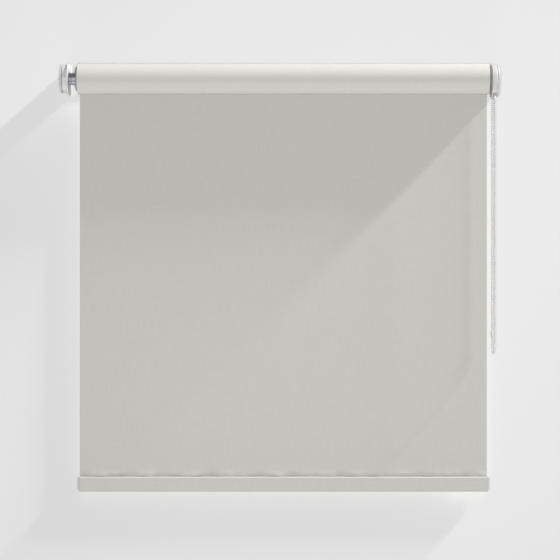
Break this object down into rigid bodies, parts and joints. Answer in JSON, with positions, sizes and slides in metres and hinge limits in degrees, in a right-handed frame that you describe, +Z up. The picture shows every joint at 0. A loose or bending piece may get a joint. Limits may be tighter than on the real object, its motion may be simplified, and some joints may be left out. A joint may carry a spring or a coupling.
{
  "type": "roller blind",
  "caption": "Side-chain roller blind: cloth wound on an aluminium tube between two wall brackets, with a spring-pin idle end, a chain clutch and a hem-wrapped bottom rail.",
  "frame": {"origin": "on the wall plane, at the height of the roller's axis, midway along the cloth; the blind hangs from the wall there", "axes": "+X along the roller towards the chain end, +Y into the wall (the room is at -Y), +Z up"},
  "size_m": [0.746, 0.0921, 0.7333],
  "materials": {
    "white_steel": "white powder coat on bent sheet steel",
    "white_plastic": "satin moulded ABS, white",
    "grey_plastic": "matt moulded acetal or nylon, grey",
    "zinc": "die-cast zinc, satin",
    "bright_steel": "bright zinc-plated steel",
    "spring_steel": "drawn spring wire",
    "aluminium": "extruded, mill finish",
    "blind_fabric": "fine plain-weave polyester, warm light grey",
    "white_chain": "moulded polyester beads on a cord, white"
  },
  "bodies": {
    "root": {"bracket_left": "white_steel", "bracket_right": "white_steel", "wall_screw_left_upper": "bright_steel", "wall_screw_left_lower": "bright_steel", "wall_screw_right_upper": "bright_steel", "wall_screw_right_lower": "bright_steel", "idle_cover": "white_plastic", "idle_cover_cap": "white_plastic", "control_housing": "white_plastic", "control_backplate": "grey_plastic", "control_cap": "white_plastic", "control_spindle": "grey_plastic", "spindle_clip": "spring_steel", "chain_loop": "white_chain", "chain_over_wheel": "white_chain", "fabric_sheet": "blind_fabric"},
    "roller": {"roller_tube": "aluminium", "fabric_spline": "white_plastic", "fabric_roll": "blind_fabric", "idle_plug": "grey_plastic", "idle_spring": "spring_steel", "drive_hub": "grey_plastic", "clutch_spring_1": "spring_steel", "clutch_spring_2": "spring_steel"},
    "chain_wheel": {"chain_wheel": "grey_plastic"},
    "idle_plunger": {"idle_collar": "zinc", "idle_pin": "bright_steel", "idle_clip": "spring_steel"},
    "rail": {"bottom_bar": "aluminium", "rail_hem": "blind_fabric", "end_cap_left": "white_plastic", "end_cap_right": "white_plastic"},
    "stop_bead": {"stop_bead": "white_chain"},
    "connector": {"chain_connector": "white_chain"}
  },
  "joints": [
    {"name": "roller_spin", "type": "hinge", "parent": "root", "child": "roller", "pos_m": [0, -0.038, 0], "axis": [1, 0, 0], "range_deg": [0, 1420]},
    {"name": "wheel_turn", "type": "hinge", "parent": "root", "child": "chain_wheel", "pos_m": [0.3583, -0.038, 0], "axis": [1, 0, 0], "range_deg": [0, 1421]},
    {"name": "rail_lift", "type": "slide", "parent": "root", "child": "rail", "axis": [0, 0, 1], "range_m": [0, 0.6201], "deforming": ["fabric_sheet"]},
    {"name": "stop_bead_slide", "type": "slide", "parent": "root", "child": "stop_bead", "axis": [0, 0, -1], "range_m": [0, 0.398]},
    {"name": "connector_slide", "type": "slide", "parent": "root", "child": "connector", "axis": [0, 0, 1], "range_m": [0, 0.398]},
    {"name": "idle_pin_slide", "type": "slide", "parent": "root", "child": "idle_plunger", "axis": [1, 0, 0], "range_m": [0, 0.008], "stiffness_N_per_m": 1000, "springref_m": -0.003, "deforming": ["idle_spring"]}
  ],
  "couplings": [
    {"joint": "wheel_turn", "follows": "roller_spin", "ratio": 1},
    {"joint": "rail_lift", "follows": "roller_spin", "m_per_rad": 0.025},
    {"joint": "stop_bead_slide", "follows": "roller_spin", "m_per_rad": 0.01604},
    {"joint": "connector_slide", "follows": "roller_spin", "m_per_rad": 0.01604}
  ]
}
